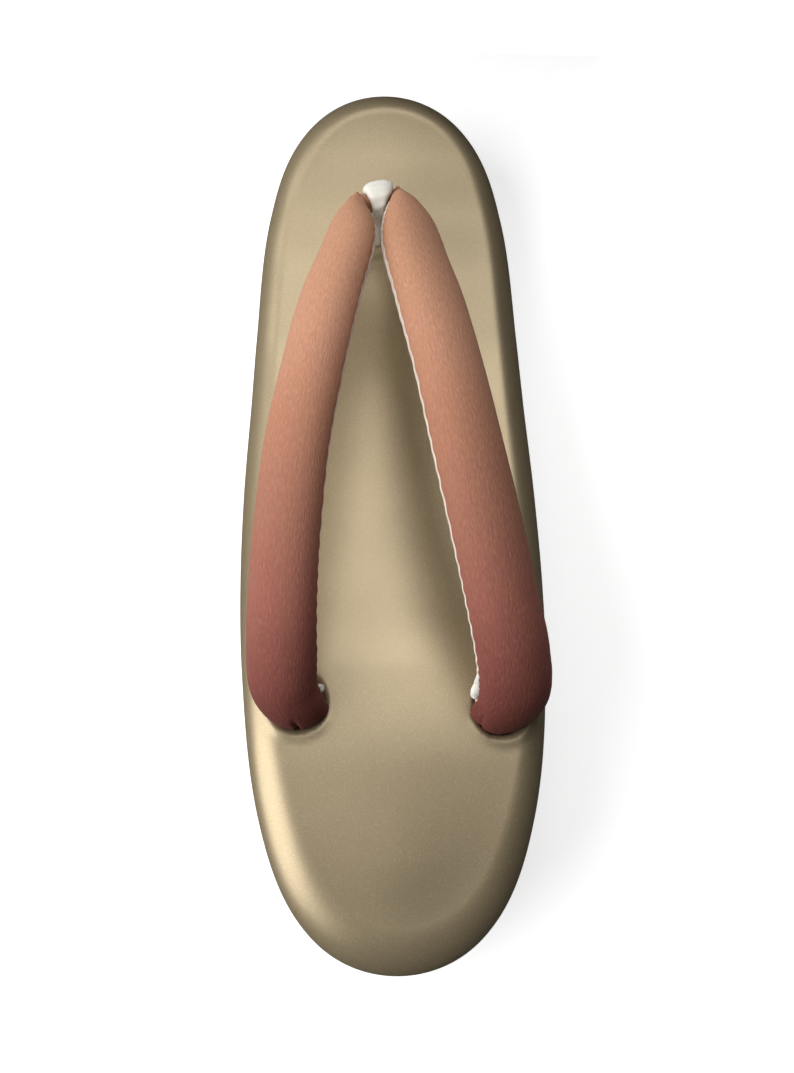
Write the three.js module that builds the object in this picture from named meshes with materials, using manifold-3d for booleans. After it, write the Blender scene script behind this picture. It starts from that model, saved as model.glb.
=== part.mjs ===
// A dress sandal for the right foot: a leather covered wedge sole with a padded footbed,
// two padded straps that meet between the toes, and a soft loop that holds them down.
//
// Millimetres, +Z up. The toe points to -Y and the big toe side is +X.
// The origin is on the floor, under the middle of the sole.

import * as THREE from 'three';
import { mergeVertices } from 'three/addons/utils/BufferGeometryUtils.js';
import Module from 'manifold-3d';

const wasm = await Module();
wasm.setup();

// Sole sizes
const SOLE_LENGTH = 240;
const SOLE_WIDTH = 79;
const HEEL_HEIGHT = 46.5;
const BALL_HEIGHT = 22;
const TOE_HEIGHT = 29;
const TOE_SPRING = 7;
const OUTSOLE_THICKNESS = 4;
const OUTSOLE_INSET = 3.4;
const OUTSOLE_EDGE = 0.8;
const WALL_INSET = 1.2;
const WALL_LEAN = 2.4;
const WALL_TURN = 1.5;
const FOOTBED_THICKNESS = 8;
const FOOTBED_TUCK = 1.6;
const EDGE_ROLL_SIDE = 6.8;
const EDGE_ROLL_HEEL = 11;
const EDGE_ROLL_TOE = 9.5;
const EDGE_ROLL_DROP = 5.8;
const SPINE_MARGIN = 27;

// Strap sizes
const STRAP_WIDTH = 19.5;
const STRAP_CROWN = 7.6;
const STRAP_BELLY = 4.8;
const STRAP_RISE = 37;
const STRAP_TUCK = 14;
const INNER_HOLE_FROM_HEEL = 64.8;
const INNER_HOLE_SIDE = 25.2;
const OUTER_HOLE_FROM_HEEL = 62;
const OUTER_HOLE_SIDE = 25.2;
const REAR_HOLE_WIDTH = 11.5;
const REAR_HOLE_LENGTH = 10;
const REAR_SEAT_RADIUS = 9.4;
const REAR_SEAT_DEPTH = 2.4;
const SEAT_FLARE = 1.2;

// Toe loop sizes
const LOOP_WIDTH = 8.2;
const LOOP_VALLEY_WIDTH = 4.6;
const LOOP_THICKNESS = 3.2;
const LOOP_CORNER = 1.2;
const LOOP_TUCK = 12;
const LOOP_FLARE = 0.1;
const FRONT_HOLE_FROM_TOE = 40.8;
const FRONT_HOLE_SIDE = 3.4;
const FRONT_SEAT_RADIUS = 9;
const FRONT_SEAT_DEPTH = 1.6;
const NECK_RISE = 16;
const NECK_HEIGHT = 5.6;
const NECK_LENGTH = 5;
const NECK_SPAN = 13;

// Clearance between pieces that touch on the real sandal
const SEAM_GAP = 0.3;

// Fineness of the faceted surfaces
const OUTLINE_STEPS = 72;
const STRAP_SIDES = 20;
const LOOP_SIDES = 16;
const LOOP_STEPS = 14;
const STRAP_STEPS = 28;
const HOLE_SIDES = 24;
const SEAT_STEPS = 6;
const LOOP_ARC_STEPS = 8;
const MERGE_DISTANCE = 1e-4;

// The outline from heel to toe. Fullness is the half width as a share of the ellipse that has
// the same length and width.
const OUTLINE = [
  { along: 0.0, fullness: 1.51 },
  { along: 0.05, fullness: 1.365 },
  { along: 0.15, fullness: 1.19 },
  { along: 0.3, fullness: 1.06 },
  { along: 0.5, fullness: 0.997 },
  { along: 0.6, fullness: 0.985 },
  { along: 0.7, fullness: 1.015 },
  { along: 0.85, fullness: 1.178 },
  { along: 0.95, fullness: 1.392 },
  { along: 1.0, fullness: 1.53 },
];

// The top of the footbed. Heel is a share of the step from ball to heel, toe a share of the
// step from ball to toe.
const TOP_PROFILE = [
  { along: 0.0, heel: 1.0, toe: 0 },
  { along: 0.1, heel: 0.99, toe: 0 },
  { along: 0.2, heel: 0.955, toe: 0 },
  { along: 0.3, heel: 0.805, toe: 0 },
  { along: 0.4, heel: 0.52, toe: 0 },
  { along: 0.5, heel: 0.265, toe: 0 },
  { along: 0.6, heel: 0.105, toe: 0 },
  { along: 0.7, heel: 0.01, toe: 0 },
  { along: 0.78, heel: 0.0, toe: 0 },
  { along: 0.85, heel: 0.0, toe: 0.12 },
  { along: 0.92, heel: 0.0, toe: 0.43 },
  { along: 1.0, heel: 0.0, toe: 1.0 },
];

// The underside lifts from the floor towards the toe. Lift is a share of the toe spring.
const FLOOR_PROFILE = [
  { along: 0.0, lift: 0 },
  { along: 0.8, lift: 0 },
  { along: 0.87, lift: 0.12 },
  { along: 0.94, lift: 0.47 },
  { along: 1.0, lift: 1.0 },
];

// The rounded edge of the footbed, from the flat top to its widest line.
// Inset is a share of the roll's width, drop a share of its depth.
const EDGE_ROLL = [
  { inset: 1.0, drop: 0.0 },
  { inset: 0.7, drop: 0.09 },
  { inset: 0.42, drop: 0.27 },
  { inset: 0.18, drop: 0.52 },
  { inset: 0.04, drop: 0.8 },
  { inset: 0.0, drop: 1.0 },
];

// The wall of the platform, from its foot up. Lean is a share of the wall's lean and rise a
// share of its height.
const WALL = [
  { lean: 1.0, rise: 0.0 },
  { lean: 0.3, rise: 0.5 },
  { lean: 0.0, rise: 0.9 },
];

// Where the flat faces of each layer are divided, as shares of the way from edge to spine.
const SPINE_SHARES = [0.35, 0.7, 1];

// The band of the toe loop turns over the neck from the first angle to the second, in degrees
// from level.
const LOOP_ARC = { from: -52, to: 100 };

// The course of each strap from its front tip to its rear hole. Along runs from the front hole
// to the rear hole, spread from the neck to the rear hole's side, and rise is a share of the
// strap's rise over the footbed. Width and depth are shares of the strap's section, and tilt
// lifts its inner edge, in degrees.
const INNER_STRAP = [
  { along: -0.016, spread: 0.23, rise: 0.42, width: 0.08, depth: 0.14, tilt: 62 },
  { along: 0.003, spread: 0.265, rise: 0.48, width: 0.32, depth: 0.38, tilt: 61 },
  { along: 0.035, spread: 0.31, rise: 0.56, width: 0.57, depth: 0.62, tilt: 59 },
  { along: 0.076, spread: 0.345, rise: 0.64, width: 0.83, depth: 0.83, tilt: 55 },
  { along: 0.14, spread: 0.39, rise: 0.77, width: 0.99, depth: 0.97, tilt: 50 },
  { along: 0.25, spread: 0.59, rise: 0.91, width: 1.03, depth: 1.0, tilt: 45 },
  { along: 0.4, spread: 0.795, rise: 0.99, width: 1.0, depth: 1.0, tilt: 41 },
  { along: 0.55, spread: 0.967, rise: 0.98, width: 1.0, depth: 1.0, tilt: 39 },
  { along: 0.7, spread: 1.07, rise: 0.84, width: 1.0, depth: 1.0, tilt: 35 },
  { along: 0.82, spread: 1.122, rise: 0.64, width: 1.0, depth: 1.0, tilt: 29 },
  { along: 0.91, spread: 1.135, rise: 0.43, width: 1.0, depth: 1.0, tilt: 21 },
  { along: 0.97, spread: 1.115, rise: 0.22, width: 0.92, depth: 0.97, tilt: 10 },
  { along: 1.0, spread: 1.0, rise: 0.04, width: 0.74, depth: 0.9, tilt: 0 },
  { along: 1.0, spread: 1.0, rise: -0.1, width: 0.6, depth: 0.8, tilt: 0 },
];

const OUTER_STRAP = [
  { along: -0.028, spread: 0.165, rise: 0.42, width: 0.08, depth: 0.15, tilt: 56 },
  { along: -0.01, spread: 0.205, rise: 0.47, width: 0.37, depth: 0.42, tilt: 53 },
  { along: 0.023, spread: 0.255, rise: 0.55, width: 0.66, depth: 0.66, tilt: 48 },
  { along: 0.069, spread: 0.29, rise: 0.64, width: 0.93, depth: 0.87, tilt: 41 },
  { along: 0.14, spread: 0.312, rise: 0.77, width: 1.05, depth: 0.98, tilt: 33 },
  { along: 0.25, spread: 0.43, rise: 0.91, width: 1.05, depth: 1.0, tilt: 26 },
  { along: 0.4, spread: 0.577, rise: 0.99, width: 1.0, depth: 1.0, tilt: 20 },
  { along: 0.55, spread: 0.711, rise: 0.98, width: 1.0, depth: 1.0, tilt: 17 },
  { along: 0.7, spread: 0.86, rise: 0.84, width: 1.0, depth: 1.0, tilt: 14 },
  { along: 0.82, spread: 0.982, rise: 0.64, width: 1.0, depth: 1.0, tilt: 12 },
  { along: 0.91, spread: 1.08, rise: 0.43, width: 1.0, depth: 1.0, tilt: 10 },
  { along: 0.97, spread: 1.1, rise: 0.22, width: 0.97, depth: 1.0, tilt: 5 },
  { along: 1.0, spread: 1.0, rise: 0.04, width: 0.76, depth: 0.9, tilt: 0 },
  { along: 1.0, spread: 1.0, rise: -0.1, width: 0.6, depth: 0.8, tilt: 0 },
];

// A smooth curve through one column of a table, without overshoot between rows.
function column(rows, key, position) {
  const last = rows.length - 1;
  const slopes = rows.map((row, i) => {
    if (i === 0 || i === last) {
      const [a, b] = i === 0 ? [rows[0], rows[1]] : [rows[last - 1], rows[last]];
      return (b[key] - a[key]) / (b.along - a.along);
    }
    const before = (row[key] - rows[i - 1][key]) / (row.along - rows[i - 1].along);
    const after = (rows[i + 1][key] - row[key]) / (rows[i + 1].along - row.along);
    return before * after <= 0 ? 0 : (2 * before * after) / (before + after);
  });
  const at = Math.min(Math.max(position, rows[0].along), rows[last].along);
  let i = 0;
  while (i < last - 1 && at > rows[i + 1].along) i += 1;
  const span = rows[i + 1].along - rows[i].along;
  const t = (at - rows[i].along) / span;
  const t2 = t * t;
  const t3 = t2 * t;
  return (2 * t3 - 3 * t2 + 1) * rows[i][key] + (t3 - 2 * t2 + t) * span * slopes[i]
    + (3 * t2 - 2 * t3) * rows[i + 1][key] + (t3 - t2) * span * slopes[i + 1];
}

const shareFromHeel = (y) => 0.5 - y / SOLE_LENGTH;
const yFromHeel = (distance) => SOLE_LENGTH / 2 - distance;

function footbedTop(y) {
  const at = shareFromHeel(y);
  return BALL_HEIGHT + (HEEL_HEIGHT - BALL_HEIGHT) * column(TOP_PROFILE, 'heel', at)
    + (TOE_HEIGHT - BALL_HEIGHT) * column(TOP_PROFILE, 'toe', at);
}

function floorLift(y) {
  return TOE_SPRING * column(FLOOR_PROFILE, 'lift', shareFromHeel(y));
}

// A point of the sole's outline. Turn runs once around from the heel, over the outer side.
function outlinePoint(turn) {
  const angle = turn * 2 * Math.PI;
  const along = (1 - Math.cos(angle)) / 2;
  const half = (SOLE_WIDTH / 2) * Math.sin(angle) * column(OUTLINE, 'fullness', along);
  return new THREE.Vector2(-half, yFromHeel(along * SOLE_LENGTH));
}

function outlineInward(turn) {
  const step = 1e-3;
  const ahead = outlinePoint(turn + step).sub(outlinePoint(turn - step)).normalize();
  return new THREE.Vector2(-ahead.y, ahead.x);
}

// The width of the footbed's rounded edge, wider around the toe and the heel.
function edgeRoll(turn) {
  const end = Math.cos(turn * 2 * Math.PI);
  const wide = end > 0 ? EDGE_ROLL_HEEL : EDGE_ROLL_TOE;
  return EDGE_ROLL_SIDE + (wide - EDGE_ROLL_SIDE) * end ** 4;
}

// Two triangles for each cell of a grid of vertex numbers whose rows close on themselves.
function gridTriangles(grid) {
  const triangles = [];
  for (let row = 0; row < grid.length - 1; row += 1) {
    const count = grid[row].length;
    for (let k = 0; k < count; k += 1) {
      const a = grid[row][k];
      const b = grid[row][(k + 1) % count];
      const c = grid[row + 1][(k + 1) % count];
      const d = grid[row + 1][k];
      triangles.push([a, b, c], [a, c, d]);
    }
  }
  return triangles;
}

// A geometry from rows of points, each row closed on itself. The two end rows are capped by a
// fan, or left as they are where they have already shrunk to a line.
function ringGeometry(rings, capped) {
  const positions = [];
  const place = (point) => positions.push(point.x, point.y, point.z) / 3 - 1;
  const grid = rings.map((ring) => ring.map(place));
  const triangles = gridTriangles(grid);
  if (capped) {
    for (const [ring, forward] of [[0, false], [rings.length - 1, true]]) {
      const middle = rings[ring].reduce((sum, point) => sum.add(point), new THREE.Vector3());
      middle.divideScalar(rings[ring].length);
      const centre = place(middle);
      grid[ring].forEach((a, k) => {
        const b = grid[ring][(k + 1) % grid[ring].length];
        triangles.push(forward ? [centre, a, b] : [centre, b, a]);
      });
    }
  }
  const geometry = new THREE.BufferGeometry();
  geometry.setAttribute('position', new THREE.Float32BufferAttribute(positions, 3));
  geometry.setIndex(triangles.flat());
  return geometry;
}

// A closed solid from a geometry, with shared points merged and empty triangles dropped.
function toSolid(source) {
  const geometry = source.index ? source.clone() : source;
  geometry.deleteAttribute('normal');
  geometry.deleteAttribute('uv');
  const merged = mergeVertices(geometry, MERGE_DISTANCE);
  const index = merged.index.array;
  const kept = [];
  for (let i = 0; i < index.length; i += 3) {
    const [a, b, c] = [index[i], index[i + 1], index[i + 2]];
    if (a !== b && b !== c && c !== a) kept.push(a, b, c);
  }
  const mesh = new wasm.Mesh({
    numProp: 3,
    vertProperties: new Float32Array(merged.attributes.position.array),
    triVerts: new Uint32Array(kept),
  });
  return new wasm.Manifold(mesh);
}

function toGeometry(solid) {
  const mesh = solid.getMesh();
  const geometry = new THREE.BufferGeometry();
  const positions = new Float32Array(mesh.vertProperties);
  geometry.setAttribute('position', new THREE.BufferAttribute(positions, 3));
  geometry.setIndex(new THREE.BufferAttribute(new Uint32Array(mesh.triVerts), 1));
  geometry.computeVertexNormals();
  return geometry;
}

// A layer of the sole. Each ring has an inset from the outline, a share of the way to the
// spine, and a height at a given y. The first and the last ring lie on the spine.
function soleLayer(rings) {
  const spineEnd = SOLE_LENGTH / 2 - SPINE_MARGIN;
  const points = rings.map((ring) => {
    const row = [];
    for (let k = 0; k < OUTLINE_STEPS; k += 1) {
      const turn = k / OUTLINE_STEPS;
      const edge = outlinePoint(turn).addScaledVector(outlineInward(turn), ring.inset(turn));
      const spine = new THREE.Vector2(0, Math.min(Math.max(edge.y, -spineEnd), spineEnd));
      edge.lerp(spine, ring.share);
      row.push(new THREE.Vector3(edge.x, edge.y, ring.height(edge.y)));
    }
    return row;
  });
  return toSolid(ringGeometry(points, false));
}

// One ring of a layer, and the rings that carry a flat face from the edge to the spine.
const ring = (inset, share, height) => ({
  inset: typeof inset === 'function' ? inset : () => inset,
  share,
  height,
});
const face = (inset, height) => SPINE_SHARES.map((share) => ring(inset, share, height));

function outsoleSolid() {
  const top = (y) => floorLift(y) + OUTSOLE_THICKNESS;
  const foot = OUTSOLE_INSET + OUTSOLE_EDGE;
  return soleLayer([
    ...face(foot, floorLift).reverse(),
    ring(foot, 0, floorLift),
    ring(OUTSOLE_INSET, 0, (y) => floorLift(y) + OUTSOLE_EDGE),
    ring(OUTSOLE_INSET, 0, top),
    ...face(OUTSOLE_INSET, top),
  ]);
}

const footbedUnder = (y) => footbedTop(y) - FOOTBED_THICKNESS;

function platformSolid() {
  const under = (y) => floorLift(y) + OUTSOLE_THICKNESS + SEAM_GAP;
  const top = (y) => footbedUnder(y) - SEAM_GAP;
  const foot = WALL_INSET + WALL_LEAN + WALL_TURN;
  const shoulder = WALL_INSET + FOOTBED_TUCK / 2;
  const wall = WALL.map((step) => ring(
    WALL_INSET + WALL_LEAN * step.lean,
    0,
    (y) => THREE.MathUtils.lerp(under(y) + WALL_TURN, top(y), step.rise),
  ));
  return soleLayer([
    ...face(foot, under).reverse(),
    ring(foot, 0, under),
    ...wall,
    ring(shoulder, 0, top),
    ...face(shoulder, top),
  ]);
}

function footbedBlank() {
  const rolled = EDGE_ROLL.map((step) => ring(
    (turn) => step.inset * edgeRoll(turn),
    0,
    (y) => footbedTop(y) - step.drop * EDGE_ROLL_DROP,
  ));
  return soleLayer([
    ...face(FOOTBED_TUCK, footbedUnder).reverse(),
    ring(FOOTBED_TUCK, 0, footbedUnder),
    ...rolled.reverse(),
    ...face(edgeRoll, footbedTop),
  ]);
}

// A shallow round seat pressed into the footbed around a hole, as a lens that is cut away.
function seatSolid(x, y, radius, depth) {
  const sphere = (radius * radius + depth * depth) / (2 * depth);
  const profile = [new THREE.Vector2(0, -depth)];
  for (let k = 1; k <= SEAT_STEPS; k += 1) {
    const r = (radius * SEAT_FLARE * k) / SEAT_STEPS;
    profile.push(new THREE.Vector2(r, sphere - depth - Math.sqrt(sphere * sphere - r * r)));
  }
  profile.push(new THREE.Vector2(0, profile.at(-1).y));
  const geometry = new THREE.LatheGeometry(profile, HOLE_SIDES);
  geometry.rotateX(Math.PI / 2);
  geometry.translate(x, y, footbedTop(y));
  return toSolid(geometry);
}

// An upright prism with a rounded section, from one height to another.
function postSolid(x, y, width, length, corner, low, high) {
  const shape = new THREE.Shape();
  const [w, l] = [width / 2, length / 2];
  shape.moveTo(w - corner, -l);
  shape.absarc(w - corner, -l + corner, corner, -Math.PI / 2, 0);
  shape.absarc(w - corner, l - corner, corner, 0, Math.PI / 2);
  shape.absarc(-w + corner, l - corner, corner, Math.PI / 2, Math.PI);
  shape.absarc(-w + corner, -l + corner, corner, Math.PI, 1.5 * Math.PI);
  const geometry = new THREE.ExtrudeGeometry(shape, {
    depth: high - low,
    bevelEnabled: false,
    curveSegments: HOLE_SIDES / 4,
  });
  geometry.translate(x, y, low);
  return toSolid(geometry);
}

// A sweep of a section along a course. Each station gives a centre, the section's two
// directions and its half sizes.
function sweepSolid(stations, sides, outlineAt) {
  const rings = stations.map((station) => {
    const row = [];
    for (let k = 0; k < sides; k += 1) {
      const [u, v] = outlineAt(station, (k / sides) * 2 * Math.PI);
      const point = station.centre.clone().addScaledVector(station.side, u);
      row.push(point.addScaledVector(station.up, v));
    }
    return row;
  });
  return toSolid(ringGeometry(rings, true));
}

const neckY = yFromHeel(SOLE_LENGTH - FRONT_HOLE_FROM_TOE);
const neckZ = footbedTop(neckY) + NECK_RISE;

// The two straps. Side is +1 for the inner strap, on the big toe's side, and -1 for the outer.
const STRAPS = [
  { side: 1, rows: INNER_STRAP, holeX: INNER_HOLE_SIDE, holeY: yFromHeel(INNER_HOLE_FROM_HEEL) },
  { side: -1, rows: OUTER_STRAP, holeX: -OUTER_HOLE_SIDE, holeY: yFromHeel(OUTER_HOLE_FROM_HEEL) },
];

function strapSolid({ side, rows, holeX, holeY }) {
  const run = holeY - neckY;
  const reach = holeX - FRONT_HOLE_SIDE;
  const points = rows.map((row) => {
    const y = neckY + run * row.along;
    const z = footbedTop(y) + STRAP_RISE * row.rise;
    return new THREE.Vector3(FRONT_HOLE_SIDE + reach * row.spread, y, z);
  });
  const course = new THREE.CatmullRomCurve3(points, false, 'centripetal');
  const outward = new THREE.Vector3(run, -reach, 0).normalize().multiplyScalar(side);
  const blend = (key, t) => {
    const at = Math.min(t * (rows.length - 1), rows.length - 1 - 1e-9);
    const k = Math.floor(at);
    return THREE.MathUtils.lerp(rows[k][key], rows[k + 1][key], at - k);
  };
  const stations = [];
  for (let k = 0; k <= STRAP_STEPS; k += 1) {
    const t = k / STRAP_STEPS;
    const ahead = course.getTangent(t);
    const level = outward.clone().addScaledVector(ahead, -outward.dot(ahead)).normalize();
    const over = new THREE.Vector3().crossVectors(level, ahead).multiplyScalar(side);
    const tilt = THREE.MathUtils.degToRad(blend('tilt', t));
    stations.push({
      centre: course.getPoint(t),
      side: level.clone().multiplyScalar(Math.cos(tilt)).addScaledVector(over, -Math.sin(tilt)),
      up: over.clone().multiplyScalar(Math.cos(tilt)).addScaledVector(level, Math.sin(tilt)),
      width: (STRAP_WIDTH / 2) * blend('width', t),
      depth: blend('depth', t),
    });
  }
  return sweepSolid(stations, STRAP_SIDES, (station, angle) => {
    const turned = -side * angle;
    const half = Math.sin(turned) > 0 ? STRAP_CROWN : STRAP_BELLY;
    return [station.width * Math.cos(turned), half * station.depth * Math.sin(turned)];
  });
}

// The short neck that joins the two straps inside the toe loop.
function neckSolid() {
  const half = NECK_SPAN / 2;
  const stations = [-half, half].map((x) => ({
    centre: new THREE.Vector3(FRONT_HOLE_SIDE + x, neckY, neckZ),
    side: new THREE.Vector3(0, 1, 0),
    up: new THREE.Vector3(0, 0, 1),
  }));
  return sweepSolid(stations, STRAP_SIDES, (station, angle) => [
    (NECK_LENGTH / 2) * Math.cos(angle),
    (NECK_HEIGHT / 2) * Math.sin(angle),
  ]);
}

// One half of the toe loop: a flat band that rises from the hole and passes over the neck.
// Facing is -1 for the front half and +1 for the rear half, where the straps squeeze the band
// narrower. Extra grows the section.
function loopHalf(facing, extra) {
  const half = LOOP_THICKNESS / 2;
  const reachY = NECK_LENGTH / 2 + SEAM_GAP + half;
  const reachZ = NECK_HEIGHT / 2 + SEAM_GAP + half;
  const leg = half - LOOP_FLARE;
  const foot = footbedTop(neckY) - LOOP_TUCK;
  const points = [
    new THREE.Vector3(0, leg, foot - neckZ),
    new THREE.Vector3(0, leg, -reachZ - LOOP_THICKNESS),
  ];
  for (let k = 0; k <= LOOP_ARC_STEPS; k += 1) {
    const turn = THREE.MathUtils.lerp(LOOP_ARC.from, LOOP_ARC.to, k / LOOP_ARC_STEPS);
    const angle = THREE.MathUtils.degToRad(turn);
    points.push(new THREE.Vector3(0, reachY * Math.cos(angle), reachZ * Math.sin(angle)));
  }
  const course = new THREE.CatmullRomCurve3(points, false, 'centripetal');
  const stations = [];
  for (let k = 0; k <= LOOP_STEPS; k += 1) {
    const ahead = course.getTangentAt(k / LOOP_STEPS);
    const place = course.getPointAt(k / LOOP_STEPS);
    stations.push({
      centre: new THREE.Vector3(FRONT_HOLE_SIDE, neckY + facing * place.y, neckZ + place.z),
      side: new THREE.Vector3(-facing, 0, 0),
      up: new THREE.Vector3(0, -facing * ahead.z, ahead.y),
      squeeze: THREE.MathUtils.smoothstep(facing * place.y, -reachY, reachY),
    });
  }
  const thick = half + extra;
  return sweepSolid(stations, LOOP_SIDES, (station, angle) => {
    const [c, s] = [Math.cos(angle), Math.sin(angle)];
    const width = THREE.MathUtils.lerp(LOOP_WIDTH, LOOP_VALLEY_WIDTH, station.squeeze);
    const along = Math.sign(c) * (width / 2 + extra - LOOP_CORNER) + LOOP_CORNER * c;
    const across = Math.sign(s) * (thick - LOOP_CORNER) + LOOP_CORNER * s;
    return [along, across];
  });
}

const loopWith = (extra) => loopHalf(-1, extra).add(loopHalf(1, extra));

// What goes down through the footbed into the platform, and the holes it leaves.
function rearPost({ holeX, holeY }, clearance) {
  const top = footbedTop(holeY);
  return postSolid(
    holeX,
    holeY,
    REAR_HOLE_WIDTH + 2 * clearance,
    REAR_HOLE_LENGTH + 2 * clearance,
    REAR_HOLE_LENGTH / 2 - SEAM_GAP + clearance,
    top - STRAP_TUCK - clearance,
    top + (clearance > 0 ? REAR_SEAT_DEPTH : -SEAM_GAP),
  );
}

function frontHole() {
  const top = footbedTop(neckY);
  return postSolid(
    FRONT_HOLE_SIDE,
    neckY,
    LOOP_WIDTH + 2 * SEAM_GAP,
    2 * LOOP_THICKNESS + 2 * SEAM_GAP,
    LOOP_CORNER,
    top - LOOP_TUCK - SEAM_GAP,
    top + FRONT_SEAT_DEPTH,
  );
}

const rearSeat = ({ holeX, holeY }) => seatSolid(holeX, holeY, REAR_SEAT_RADIUS, REAR_SEAT_DEPTH);
const frontSeat = seatSolid(FRONT_HOLE_SIDE, neckY, FRONT_SEAT_RADIUS, FRONT_SEAT_DEPTH);
const seats = [...STRAPS.map(rearSeat), frontSeat];
const holes = [...STRAPS.map((strap) => rearPost(strap, SEAM_GAP)), frontHole()];
const addAll = (solids) => solids.reduce((sum, solid) => sum.add(solid));
const cutAll = (solid, tools) => tools.reduce((rest, tool) => rest.subtract(tool), solid);

const footbedPressed = cutAll(footbedBlank(), seats);
const footbed = cutAll(footbedPressed, holes);
const platform = cutAll(platformSolid(), holes);

const straps = addAll(STRAPS.map(strapSolid))
  .subtract(footbedPressed.translate([0, 0, SEAM_GAP]))
  .add(neckSolid())
  .subtract(loopWith(SEAM_GAP))
  .add(addAll(STRAPS.map((strap) => rearPost(strap, 0))));

// Colours and finishes
const pearlLeather = { color: 0xb5a47c, roughness: 0.38, metalness: 0.25 };
const darkRubber = { color: 0x6d6250, roughness: 0.8, metalness: 0 };
const crepe = { color: 0xb06a55, roughness: 0.85, metalness: 0 };
const whiteVelvet = { color: 0xf0eee8, roughness: 0.95, metalness: 0 };

const pieces = [
  ['outsole', outsoleSolid(), darkRubber],
  ['platform', platform, pearlLeather],
  ['footbed', footbed, pearlLeather],
  ['straps', straps, crepe],
  ['toe_loop', loopWith(0), whiteVelvet],
];

const sandal = new THREE.Group();
for (const [name, solid, finish] of pieces) {
  const mesh = new THREE.Mesh(toGeometry(solid), new THREE.MeshStandardMaterial(finish));
  mesh.name = name;
  sandal.add(mesh);
}

export default sandal;
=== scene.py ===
"""Looks of a formal zori sandal: a padded leather sole, two crepe straps and a velvet toe loop.

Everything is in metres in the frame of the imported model: the floor is z = 0, the toe points to
-Y and the big toe's side is +X. Sizes are given in millimetres and scaled once, by MM.
"""

from __future__ import annotations

import logging
import math
from dataclasses import dataclass, field
from typing import Callable, NamedTuple, Sequence

import bmesh
import bpy
import numpy as np
from mathutils import Matrix, Vector

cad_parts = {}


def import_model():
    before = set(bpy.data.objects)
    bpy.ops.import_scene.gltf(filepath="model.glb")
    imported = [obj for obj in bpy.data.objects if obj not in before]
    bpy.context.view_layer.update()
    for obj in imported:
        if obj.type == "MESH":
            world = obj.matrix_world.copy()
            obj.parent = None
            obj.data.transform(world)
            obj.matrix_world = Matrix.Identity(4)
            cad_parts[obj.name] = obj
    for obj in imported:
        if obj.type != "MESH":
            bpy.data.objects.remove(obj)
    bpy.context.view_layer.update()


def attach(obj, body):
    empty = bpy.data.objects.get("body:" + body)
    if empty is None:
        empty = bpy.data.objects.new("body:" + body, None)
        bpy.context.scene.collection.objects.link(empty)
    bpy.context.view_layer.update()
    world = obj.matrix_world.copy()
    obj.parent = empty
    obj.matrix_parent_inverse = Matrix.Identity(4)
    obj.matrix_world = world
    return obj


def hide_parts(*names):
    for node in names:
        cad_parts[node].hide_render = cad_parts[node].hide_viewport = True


log = logging.getLogger("zori")

MM = 0.001
TAU = 2 * math.pi
BODY = "root"

Array = np.ndarray
Value = "Wire | float"


# Curves and meshes


class Column:
    """A smooth curve through one column of a table, without overshoot between its rows."""

    def __init__(self, rows: Sequence[tuple[float, float]]) -> None:
        """Works out the slope at each row.

        Args:
            rows: pairs of position and value, with rising positions.
        """
        self.at = np.array([row[0] for row in rows], float)
        self.value = np.array([row[1] for row in rows], float)
        step = np.diff(self.value) / np.diff(self.at)
        product = step[:-1] * step[1:]
        total = step[:-1] + step[1:]
        inner = np.where(product > 0, 2 * product / np.where(total == 0, 1, total), 0)
        self.slope = np.concatenate([step[:1], inner, step[-1:]])

    def __call__(self, position: Array | float) -> Array:
        """Gives the value at a position, held level past the two ends."""
        at = np.clip(position, self.at[0], self.at[-1])
        k = np.clip(np.searchsorted(self.at, at, side="right") - 1, 0, len(self.at) - 2)
        span = self.at[k + 1] - self.at[k]
        t = (at - self.at[k]) / span
        t2, t3 = t * t, t * t * t
        return (
            (2 * t3 - 3 * t2 + 1) * self.value[k]
            + (t3 - 2 * t2 + t) * span * self.slope[k]
            + (3 * t2 - 2 * t3) * self.value[k + 1]
            + (t3 - t2) * span * self.slope[k + 1]
        )


def smoothstep(low: float, high: float, value: Array | float) -> Array:
    """Rises smoothly from 0 at low to 1 at high."""
    t = np.clip((np.asarray(value, float) - low) / (high - low), 0, 1)
    return t * t * (3 - 2 * t)


def bump_at(centre: float, reach: float, value: Array | float) -> Array:
    """A smooth hump of height 1 at centre that ends at reach on both sides."""
    return 1 - smoothstep(0, reach, np.abs(np.asarray(value, float) - centre))


def unit(vectors: Array) -> Array:
    """Scales the vectors on the last axis to length 1."""
    return vectors / np.maximum(np.linalg.norm(vectors, axis=-1, keepdims=True), 1e-12)


def course_through(points: Array, count: int) -> tuple[Array, Array]:
    """A centripetal curve through points, with the same share of it between each two.

    Args:
        points: the points to pass through, one row each.
        count: how many places to give along the curve.

    Returns:
        The places and the unit tangents.
    """
    before = 2 * points[0] - points[1]
    after = 2 * points[-1] - points[-2]
    padded = np.vstack([before, points, after])
    t = np.linspace(0, len(points) - 1, count)
    k = np.minimum(t.astype(int), len(points) - 2)
    f = (t - k)[:, None]
    p0, p1, p2, p3 = (padded[k + i] for i in range(4))
    d0, d1, d2 = (
        np.maximum(np.sqrt(np.linalg.norm(b - a, axis=1, keepdims=True)), 1e-6)
        for a, b in ((p0, p1), (p1, p2), (p2, p3))
    )
    m1 = ((p1 - p0) / d0 - (p2 - p0) / (d0 + d1) + (p2 - p1) / d1) * d1
    m2 = ((p2 - p1) / d1 - (p3 - p1) / (d1 + d2) + (p3 - p2) / d2) * d1
    f2, f3 = f * f, f * f * f
    c2 = -3 * p1 + 3 * p2 - 2 * m1 - m2
    c3 = 2 * p1 - 2 * p2 + m1 + m2
    return p1 + m1 * f + c2 * f2 + c3 * f3, unit(m1 + 2 * c2 * f + 3 * c3 * f2)


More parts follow.
